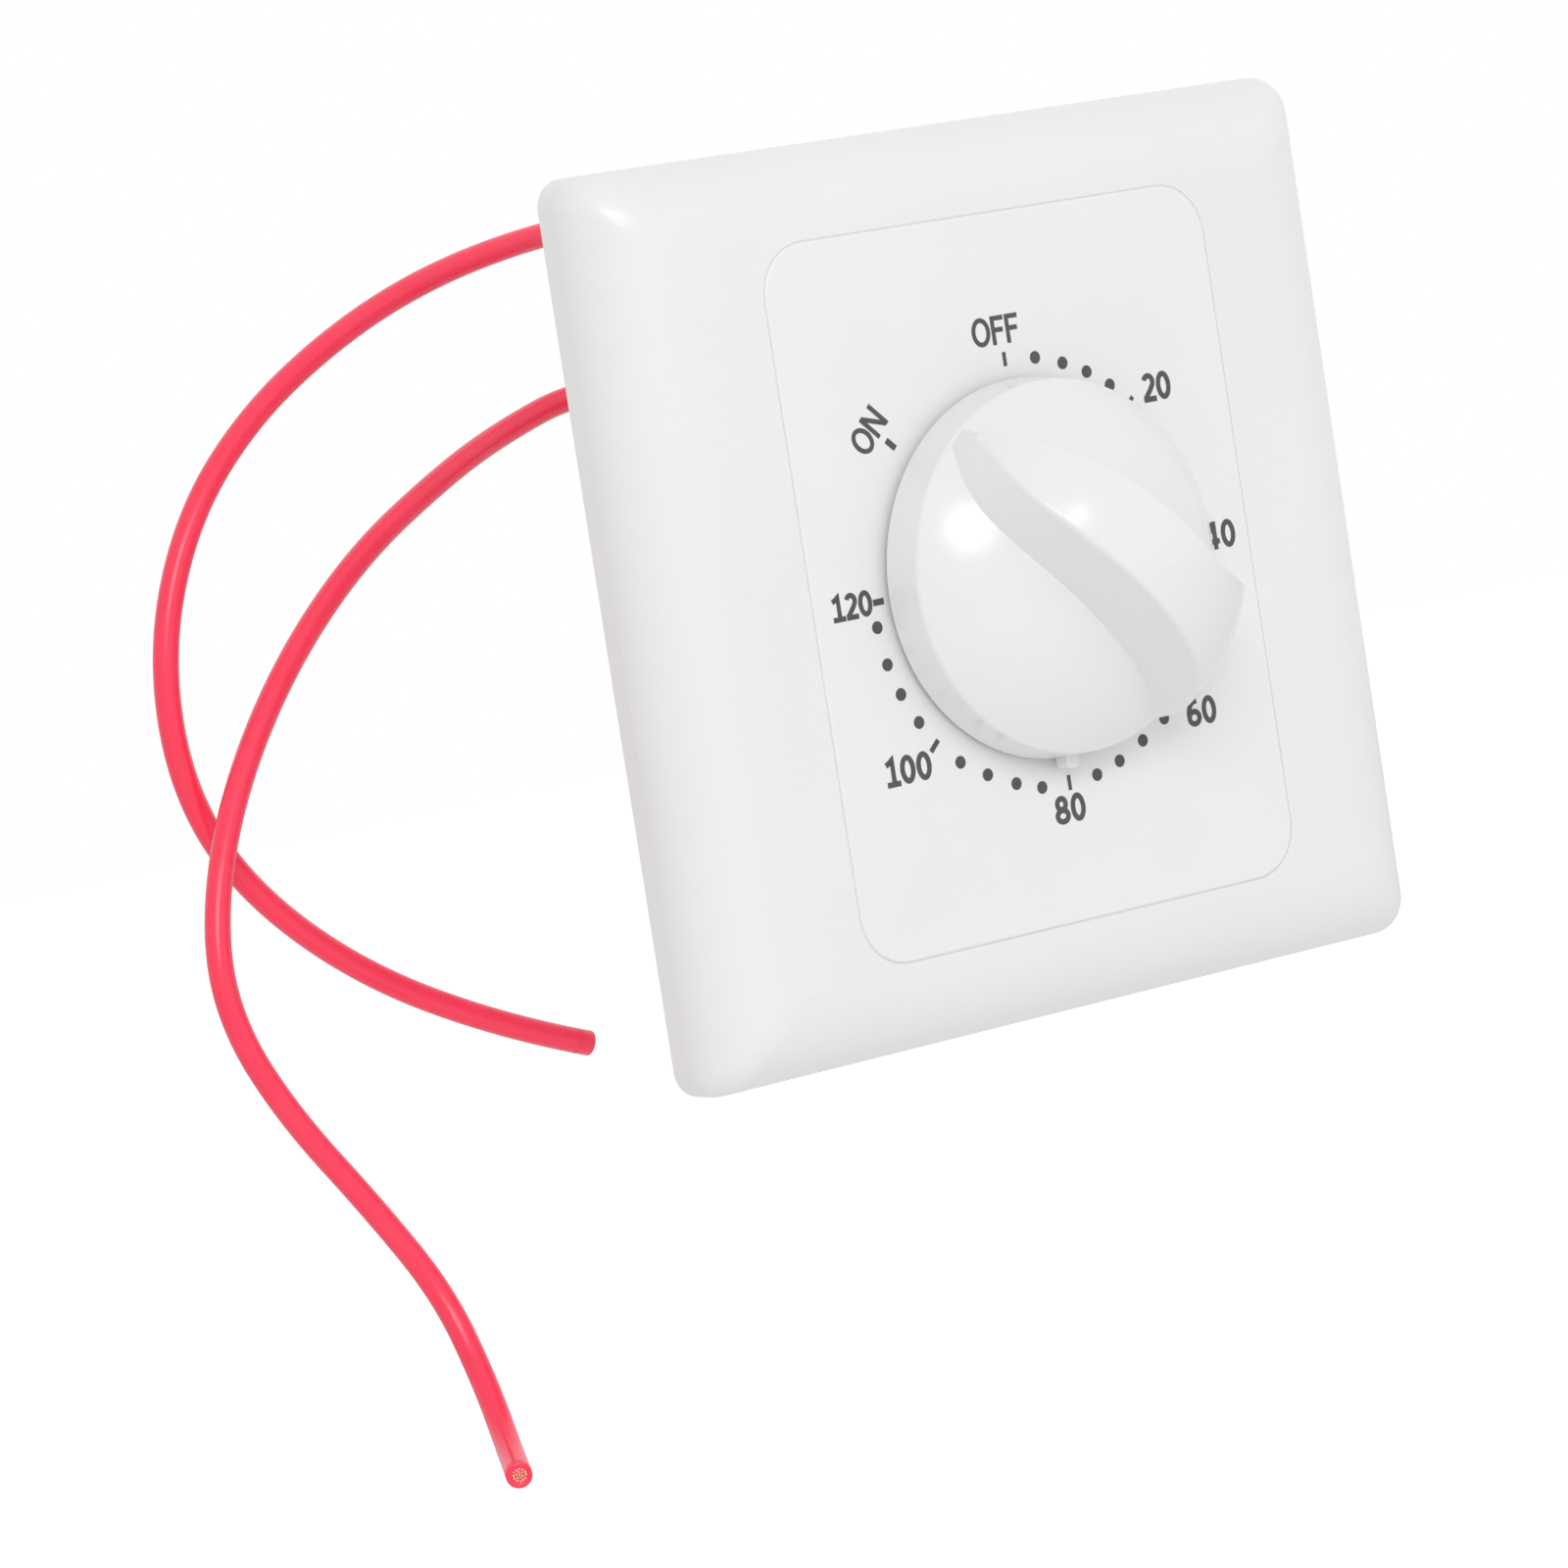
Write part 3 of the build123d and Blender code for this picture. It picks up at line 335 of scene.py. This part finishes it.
slotLooks = {
    "plate_white": "plateWhite",
    "panel_white": "panelWhite",
    "knob_white": "knobWhite",
    "cover_white": "coverWhite",
    "zinc_steel": "zincSteel",
    "spring_steel": "springSteel",
    "brass": "brass",
    "silver": "silver",
    "brown_phenolic": "brownPhenolic",
    "cam_nylon": "camNylon",
    "grommet_rubber": "grommetRubber",
    "red_pvc": "redPvc",
    "copper": "copperWire",
}
slotOf = {part["node"]: part["material_slot"] for part in frame["record"]["subparts"]}
for name, node in nodes.items():
    node.data.materials.clear()
    node.data.materials.append(look[slotLooks[slotOf[name]]])
print("finishes made,", len(look))


# leads: the solids' route points, moved a little to the seen outline, as smooth splines
leads = {
    "diameter": 2.5,
    "facets": 7,
    "order": 3,
    "steps": 16,
    "upper": [
        (7, 25.8, 17.5), (7, 33.2, 17.5), (6.2, 40.2, 20.8), (4.2, 44.1, 26.7),
        (-0.3, 46.4, 32.2), (-6.5, 45.4, 38.2), (-14.4, 41.9, 38.7), (-29.5, 40.0, 36.4),
        (-42.4, 38.7, 32.1), (-54.7, 37.6, 25.4), (-63.9, 36.6, 16.6), (-68.8, 36.8, 4.7),
        (-68.8, 36.9, -8.2), (-63.9, 36.5, -18.9), (-52.6, 36.3, -29.4), (-38.9, 33.4, -37.3),
        (-30.5, 33.0, -40.4),
    ],
    "lower": [
        (1, 25.8, 17.5), (1, 32.8, 17.5), (-1.6, 39.1, 19.1), (-6.8, 43.4, 21.2),
        (-13.2, 43.8, 22.4), (-23.4, 42.4, 19.7), (-32.8, 39.5, 16.6), (-46.1, 36.3, 10.4),
        (-57.8, 34.0, 1.0), (-67.0, 31.6, -10.2), (-72.15, 29.4, -21.3), (-72.25, 28.6, -30.3),
        (-68.4, 27.4, -39.7), (-62.2, 25.3, -49.8), (-57.6, 22.8, -59.0), (-57.2, 18.5, -67.5),
        (-59.4, 12.4, -73.3), (-63.0, 5.7, -74.05),
    ],
}
# cut end: radius and height of each ring, from the insulation's skin in to the core
mouthRing = {
    "facets": 48,
    "rings": [
        (1.255, -1.6), (1.255, -0.10), (1.1875, 0.02), (0.81, 0.03), (0.75, -0.06), (0.735, -0.5),
    ],
}
# copper strands: how many stand in each ring, and how far out in strand radii
strand = {
    "radius": 0.1456311,
    "bare": 0.90,
    "rings": [(1, 0.0), (6, 2.0), (12, 3.95)],
    "twist": 0.3,
    "uneven": 0.10,
    "phase": 3.7,
    "length": 1.2,
    "shift": (0.06, 0.03),
    "sunk": 0.5,
    "round": 0.35,
    "facets": 14,
}


def leadCurve(name, points):
    data = bpy.data.curves.new(name, "CURVE")
    data.dimensions = "3D"
    data.bevel_depth = leads["diameter"] / 2 * mm
    data.bevel_resolution = leads["facets"]
    data.use_fill_caps = True
    spline = data.splines.new("NURBS")
    spline.points.add(len(points) - 1)
    for point, place in zip(spline.points, points):
        point.co = (*[value * mm for value in place], 1)
    spline.order_u = leads["order"]
    spline.use_endpoint_u = True
    spline.resolution_u = leads["steps"]
    return newPiece(name, data, look["redPvc"])


def leadEnd(points):
    last = Vector(points[-1]) * mm
    away = (last - Vector(points[-2]) * mm).normalized()
    return Matrix.Translation(last) @ away.to_track_quat("Z", "Y").to_matrix().to_4x4()


def leadMouth(name, points):
    (first, start), *rings = mouthRing["rings"]
    bm = bmesh.new()
    skin = bmesh.ops.create_circle(bm, segments=mouthRing["facets"], radius=first * mm)["verts"]
    bmesh.ops.translate(bm, verts=skin, vec=(0, 0, start * mm))
    edges = list(bm.edges)
    for radius, height in rings:
        made = bmesh.ops.extrude_edge_only(bm, edges=edges)["geom"]
        edges = only(bmesh.types.BMEdge, made)
        for vert in only(bmesh.types.BMVert, made):
            flat = Vector((vert.co.x, vert.co.y, 0)).normalized() * radius * mm
            vert.co = (flat.x, flat.y, height * mm)
    bmesh.ops.contextual_create(bm, geom=edges)
    bmesh.ops.transform(bm, matrix=leadEnd(points), verts=bm.verts)
    return fromBmesh(name, bm, look["redPvc"])


def leadStrands(name, points):
    radius = strand["radius"] * mm
    bm = bmesh.new()
    for count, distance in strand["rings"]:
        for step in range(count):
            angle = 2 * math.pi * step / count + strand["twist"] * count
            lift = strand["uneven"] * math.sin(strand["phase"] * step + count) - strand["sunk"]
            spot = Vector((math.cos(angle), math.sin(angle), 0)) * distance * radius
            end = bmesh.ops.create_cone(
                bm,
                cap_ends=True,
                segments=strand["facets"],
                radius1=radius * strand["bare"],
                radius2=radius * strand["bare"],
                depth=strand["length"] * mm,
            )["verts"]
            rim = [edge for edge in bm.edges if all(v in end and v.co.z > 0 for v in edge.verts)]
            moved = spot + Vector((*strand["shift"], lift)) * mm
            bmesh.ops.translate(bm, verts=end, vec=moved)
            roundOff(bm, rim, radius * strand["round"], 2)
    bmesh.ops.transform(bm, matrix=leadEnd(points), verts=bm.verts)
    return fromBmesh(name, bm, look["copperWire"])


for name in ("upper", "lower"):
    points = leads[name]
    lead = leadCurve(name + "LeadWire", points)
    mouth = leadMouth(name + "LeadMouth", points)
    strands = leadStrands(name + "LeadStrands", points)
    for piece in (lead, mouth, strands):
        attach(piece, "switch_body")
    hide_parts(name + "_lead")
    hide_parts(name + "_strands")


# flare at the broad end of the grip: it carries the high dome out to a sharper corner
# azimuth and sharp are degrees, rimAngle radians, inner, start and edge shares of the crease
flare = {
    "azimuth": 142.0,
    "crease": 17.7,
    "rim": 17.45,
    "rimSteps": 8,
    "panel": -10.0,
    "ball": 18.6,
    "height": 20.5,
    "wall": 3.6,
    "wallMore": 3.2,
    "sunk": 2.5,
    "draft": 0.2,
    "under": 0.03,
    "rise": 0.05,
    "fade": (6, 4),
    "round": 0.55,
    "roundSteps": 4,
    "rimAngle": 0.7,
    "sharp": 40,
    "grid": (40, 24),
    "inner": 0.03,
    "start": 0.06,
    "edge": [
        (0.0, 0.18), (0.2, 0.222), (0.393, 0.286), (0.57, 0.385),
        (0.748, 0.497), (0.83, 0.55), (1.0, 0.66),
    ],
}


def flareEdge(along):
    for (start, low), (end, high) in zip(flare["edge"], flare["edge"][1:]):
        if along <= end:
            return low + (high - low) * (along - start) / (end - start)
    return flare["edge"][-1][1]


def ramp(value):
    value = min(max(value, 0.0), 1.0)
    return value * value * (3 - 2 * value)


def flarePoint(s, t, fall, lean):
    crease, inner, start = flare["crease"], flare["inner"], flare["start"]
    rim = flare["rim"] / crease

    def outAt(along):
        return inner + t * (flareEdge(along) - inner + lean / crease)

    end = rim
    for step in range(flare["rimSteps"]):
        end = math.sqrt(rim**2 - outAt(end) ** 2)
    along = start + s * (end - start)
    out = outAt(along) * crease
    along = along * crease
    radius = math.hypot(along, out)
    turn = math.radians(flare["azimuth"]) - math.atan2(out, along)
    dome = math.sqrt(flare["ball"] ** 2 - radius**2) - flare["ball"]
    fade = min(ramp(s * flare["fade"][0]), ramp(t * flare["fade"][1]))
    cover = flare["rise"] * fade - flare["under"]
    depth = flare["panel"] - flare["height"] - dome - cover + fall
    return Vector((radius * math.sin(turn), depth, radius * math.cos(turn))) * mm


def gripFlare():
    bm = bmesh.new()
    along, across = flare["grid"]
    bmesh.ops.create_grid(bm, x_segments=along, y_segments=across, size=0.5)
    made = bmesh.ops.extrude_face_region(bm, geom=list(bm.faces), use_keep_orig=True)["geom"]
    lower = set(only(bmesh.types.BMVert, made))
    for vert in bm.verts:
        s, t = vert.co.x + 0.5, vert.co.y + 0.5
        fall = flare["wall"] + flare["wallMore"] * (1 - s) + flare["sunk"] if vert in lower else 0
        vert.co = flarePoint(s, t, fall, fall * flare["draft"])
    bmesh.ops.recalc_face_normals(bm, faces=bm.faces)
    rims = [
        edge
        for edge in bm.edges
        if not any(vert in lower for vert in edge.verts)
        and len(edge.link_faces) == 2
        and edge.calc_face_angle() > flare["rimAngle"]
    ]
    roundOff(bm, rims, flare["round"] * mm, flare["roundSteps"])
    piece = fromBmesh("gripFlare", bm, look["knobWhite"])
    piece.data.set_sharp_from_angle(angle=math.radians(flare["sharp"]))
    return piece


corner = gripFlare()
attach(corner, "dial")
print("grip flare made")


# seam round the dial panel, filled to just under the plate's face
seam = {
    "width": 52.86,
    "height": 68.06,
    "corner": 5.13,
    "cornerSteps": 24,
    "across": 0.19,
    "front": -9.72,
    "deep": 0.4,
}


def panelSeam():
    bm = bmesh.new()
    bmesh.ops.create_grid(bm, x_segments=1, y_segments=1, size=0.5)
    bmesh.ops.scale(bm, vec=(seam["width"] * mm, seam["height"] * mm, 1), verts=bm.verts)
    roundOff(bm, list(bm.verts), seam["corner"] * mm, seam["cornerSteps"], "VERTICES")
    inside = list(bm.faces)
    bmesh.ops.inset_region(
        bm, faces=inside, thickness=seam["across"] * mm, use_boundary=True, use_even_offset=True
    )
    bmesh.ops.delete(bm, geom=inside, context="FACES")
    made = bmesh.ops.extrude_face_region(bm, geom=list(bm.faces), use_keep_orig=True)["geom"]
    back = only(bmesh.types.BMVert, made)
    bmesh.ops.translate(bm, verts=back, vec=(0, 0, -seam["deep"] * mm))
    bmesh.ops.transform(bm, matrix=dialPlane(0, 0, seam["front"]), verts=bm.verts)
    return fromBmesh("panelSeam", bm, look["panelWhite"], smooth=False)


filler = panelSeam()
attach(filler, "switch_body")
print("panel seam filled")


# printing on the dial panel. Dots: azimuth and radius. Ticks: azimuth, radius, length and width.
# Words: text, x, z, turn, height and stroke
dial = {
    "depth": -10.012,
    "ink": 0.008,
    "gap": 0.06,
    "dot": 0.61,
    "dotFacets": 24,
    "dots": [
        (10.4, 20.0), (19.9, 19.9), (28.5, 19.9), (37.2, 19.9), (54, 19.7), (63, 20.2),
        (72, 20.3), (81, 20.4), (99, 20.5), (108, 20.6), (117, 20.7), (126, 20.7),
        (142.9, 20.8), (152.3, 20.6), (161.9, 20.7), (170.3, 20.8), (188.9, 20.8), (197.4, 20.6),
        (207.1, 20.5), (216.6, 20.6), (233.6, 20.3), (243.0, 20.1), (252.0, 19.9), (262.5, 19.6),
    ],
    "ticks": [
        (0, 20.0, 1.35, 0.42), (45.4, 19.8, 1.3, 0.45), (90, 19.8, 1.0, 0.42),
        (135, 20.7, 1.3, 0.42), (179.8, 20.65, 1.45, 0.42), (225.9, 20.85, 1.4, 0.52),
        (269.3, 18.86, 1.25, 0.62), (313.6, 20.3, 1.3, 0.62),
    ],
    "words": [
        ("OFF", -0.60, 22.82, 0, 2.76, 0.46),
        ("20", 17.65, 14.95, 0, 2.72, 0.54),
        ("40", 22.82, -0.28, 0, 2.72, 0.54),
        ("60", 17.2, -16.66, 0, 2.72, 0.54),
        ("80", -0.31, -23.09, 0, 2.72, 0.54),
        ("100", -18.33, -16.11, 0, 2.72, 0.54),
        ("120", -21.9, -0.12, 0, 2.46, 0.50),
        ("ON", -17.05, 15.56, 46, 2.75, 0.46),
    ],
}


def oval(x, y, across, up, start=0, end=360, steps=28):
    angles = [math.radians(start + (end - start) * i / steps) for i in range(steps + 1)]
    if abs(end - start) == 360:
        angles.pop()
    return [(x + across * math.cos(angle), y + up * math.sin(angle)) for angle in angles]


# strokes of each sign on a height of 1: its width, closed lines, open lines
twoBow = oval(0.28, 0.69, 0.195, 0.22, 160, -25, 14) + [(0.34, 0.42), (0.08, 0.12)]
sixTail = [(0.095, 0.32), (0.10, 0.52), (0.17, 0.74), (0.31, 0.87), (0.50, 0.905)]
signs = {
    "0": (0.64, [oval(0.32, 0.5, 0.225, 0.405)], []),
    "1": (
        0.56,
        [],
        [[(0.04, 0.76), (0.19, 0.83), (0.31, 0.92), (0.31, 0.0)], [(0.0, 0.08), (0.58, 0.08)]],
    ),
    "2": (0.56, [], [twoBow, [(0.0, 0.08), (0.57, 0.08)]]),
    "4": (0.60, [], [[(0.31, 0.94), (-0.04, 0.29), (0.56, 0.29)], [(0.36, 1.0), (0.36, 0.0)]]),
    "6": (0.64, [oval(0.32, 0.31, 0.225, 0.22)], [sixTail]),
    "8": (0.66, [oval(0.33, 0.71, 0.185, 0.195), oval(0.33, 0.29, 0.235, 0.20)], []),
    "O": (0.78, [oval(0.39, 0.5, 0.315, 0.42)], []),
    "F": (
        0.56,
        [],
        [
            [(0.085, 0.0), (0.085, 1.0)],
            [(0.085, 0.915), (0.56, 0.915)],
            [(0.085, 0.51), (0.50, 0.51)],
        ],
    ),
    "N": (
        0.74,
        [],
        [[(0.08, 0.0), (0.08, 1.0)], [(0.12, 0.95), (0.62, 0.05)], [(0.66, 0.0), (0.66, 1.0)]],
    ),
}
leastTurn = 0.5  # keeps the outer corner of a sharp bend from running out too far


def ribbon(bm, line, closed, width, lift):
    points = [Vector(point) for point in line]
    sides = []
    for i, point in enumerate(points):
        first, last = i == 0 and not closed, i == len(points) - 1 and not closed
        before = (point - points[i - 1]).normalized()
        after = (points[(i + 1) % len(points)] - point).normalized()
        before, after = (after if first else before), (before if last else after)
        along = (before + after).normalized()
        square = Vector((-along.y, along.x))
        reach = width / 2 / max(square.dot(Vector((-after.y, after.x))), leastTurn)
        sides.append([bm.verts.new((*(point + square * side), lift)) for side in (reach, -reach)])
    for i in range(len(sides) if closed else len(sides) - 1):
        left, right = sides[i], sides[(i + 1) % len(sides)]
        bm.faces.new((left[0], left[1], right[1], right[0]))


def printedWord(bm, word, x, z, turn, height, stroke):
    total = sum(signs[sign][0] for sign in word) + dial["gap"] * (len(word) - 1)
    start = -total / 2
    known = set(bm.verts)
    for sign in word:
        wide, loops, lines = signs[sign]
        for level, line in enumerate(loops + lines):
            moved = [(start + across, up - 0.5) for across, up in line]
            lift = level * dial["ink"] * mm / 2  # strokes that cross don't share a plane
            ribbon(bm, moved, level < len(loops), stroke / height, lift)
        start += wide + dial["gap"]
    made = [vert for vert in bm.verts if vert not in known]
    plane = dialPlane(x, z, dial["depth"], math.radians(turn))
    bmesh.ops.scale(bm, vec=(height * mm, height * mm, 1), verts=made)
    bmesh.ops.transform(bm, matrix=plane, verts=made)


def ringPlane(azimuth, radius, turned):
    turn = math.radians(azimuth)
    x, z = radius * math.sin(turn), radius * math.cos(turn)
    return dialPlane(x, z, dial["depth"], -turn if turned else 0.0)


def dialPrint():
    bm = bmesh.new()
    for azimuth, radius in dial["dots"]:
        dot = bmesh.ops.create_circle(
            bm, cap_ends=True, segments=dial["dotFacets"], radius=dial["dot"] * mm
        )["verts"]
        bmesh.ops.transform(bm, matrix=ringPlane(azimuth, radius, False), verts=dot)
    for azimuth, radius, length, width in dial["ticks"]:
        tick = bmesh.ops.create_grid(bm, x_segments=1, y_segments=1, size=0.5 * mm)["verts"]
        bmesh.ops.scale(bm, vec=(width, length, 1), verts=tick)
        bmesh.ops.transform(bm, matrix=ringPlane(azimuth, radius, True), verts=tick)
    for word in dial["words"]:
        printedWord(bm, *word)
    made = bmesh.ops.extrude_face_region(bm, geom=list(bm.faces))["geom"]
    lifted = only(bmesh.types.BMVert, made)
    bmesh.ops.translate(bm, verts=lifted, vec=(0, -dial["ink"] * mm, 0))
    return fromBmesh("dialPrint", bm, look["printGrey"], smooth=False)


marks = dialPrint()
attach(marks, "switch_body")
print("dial printed")


# floor, lamps and world. Lamps: name, place, size and power
studio = {
    "floor": -0.30,
    "floorSize": 3.0,
    "floorGrey": (0.9, 0.9, 0.9, 1),
    "floorRough": 0.9,
    "floorGlow": 0.3,
    "white": (1, 1, 1, 1),
    "world": 0.87,
    "left": 0.58,
    "leftFade": (-1.0, -0.1),
    "lamps": [
        ("key", (-0.60, -0.90, 0.48), 0.50, 3.4),
        ("window", (-0.25, -1.12, 0.66), 0.24, 0.9),
    ],
}


def makeStage():  # a white floor, which glows a little for the camera alone
    mesh = bpy.data.meshes.new("floor")
    bm = bmesh.new()
    bmesh.ops.create_grid(bm, x_segments=1, y_segments=1, size=studio["floorSize"])
    bmesh.ops.translate(bm, verts=bm.verts, vec=(0, 0, studio["floor"]))
    bm.to_mesh(mesh)
    bm.free()
    material = bpy.data.materials.new("floorWhite")
    material.use_nodes = True
    tree = material.node_tree
    shader = tree.nodes["Principled BSDF"]
    shader.inputs["Base Color"].default_value = studio["floorGrey"]
    shader.inputs["Roughness"].default_value = studio["floorRough"]
    shader.inputs["Emission Color"].default_value = studio["white"]
    path = newNode(tree, "LightPath")
    glow = newNode(tree, "Math", {1: studio["floorGlow"]}, operation="MULTIPLY")
    wire(
        tree,
        (path.outputs["Is Camera Ray"], glow.inputs[0]),
        (glow.outputs["Value"], shader.inputs["Emission Strength"]),
    )
    floor = newPiece("floor", mesh, material)


def makeWorld():  # dimmer from the left for matt light, plain white where it is seen or mirrored
    world = bpy.data.worlds.new("studio")
    bpy.context.scene.world = world
    world.use_nodes = True
    tree = world.node_tree
    base = tree.nodes["Background"]
    base.inputs["Color"].default_value = studio["white"]
    start, end = studio["leftFade"]
    sizes = {
        "From Min": start,
        "From Max": end,
        "To Min": studio["left"],
        "To Max": studio["world"],
    }
    towards = newNode(tree, "TexCoord")
    axes = newNode(tree, "SeparateXYZ")
    level = newNode(tree, "MapRange", sizes)
    seen = newNode(tree, "Background", {"Color": studio["white"], "Strength": 1.0})
    path = newNode(tree, "LightPath")
    mix = newNode(tree, "MixShader")
    white = path.outputs["Is Camera Ray"]
    for kind in ("Is Glossy Ray", "Is Transmission Ray"):
        either = newNode(tree, "Math", operation="MAXIMUM")
        wire(tree, (white, either.inputs[0]), (path.outputs[kind], either.inputs[1]))
        white = either.outputs[0]
    wire(
        tree,
        (towards.outputs["Generated"], axes.inputs["Vector"]),
        (axes.outputs["X"], level.inputs["Value"]),
        (level.outputs["Result"], base.inputs["Strength"]),
        (white, mix.inputs[0]),
        (base.outputs[0], mix.inputs[1]),
        (seen.outputs[0], mix.inputs[2]),
        (mix.outputs[0], tree.nodes["World Output"].inputs["Surface"]),
    )


def makeLamps():
    for name, place, size, power in studio["lamps"]:
        data = bpy.data.lights.new(name, "AREA")
        data.shape = "DISK"
        data.size = size
        data.energy = power
        lamp = bpy.data.objects.new(name, data)
        lamp.location = place
        lamp.rotation_euler = (-Vector(place)).to_track_quat("-Z", "Y").to_euler()
        bpy.context.collection.objects.link(lamp)


makeStage()
makeWorld()
makeLamps()
bpy.context.scene.view_settings.view_transform = "Standard"
print("studio lit")
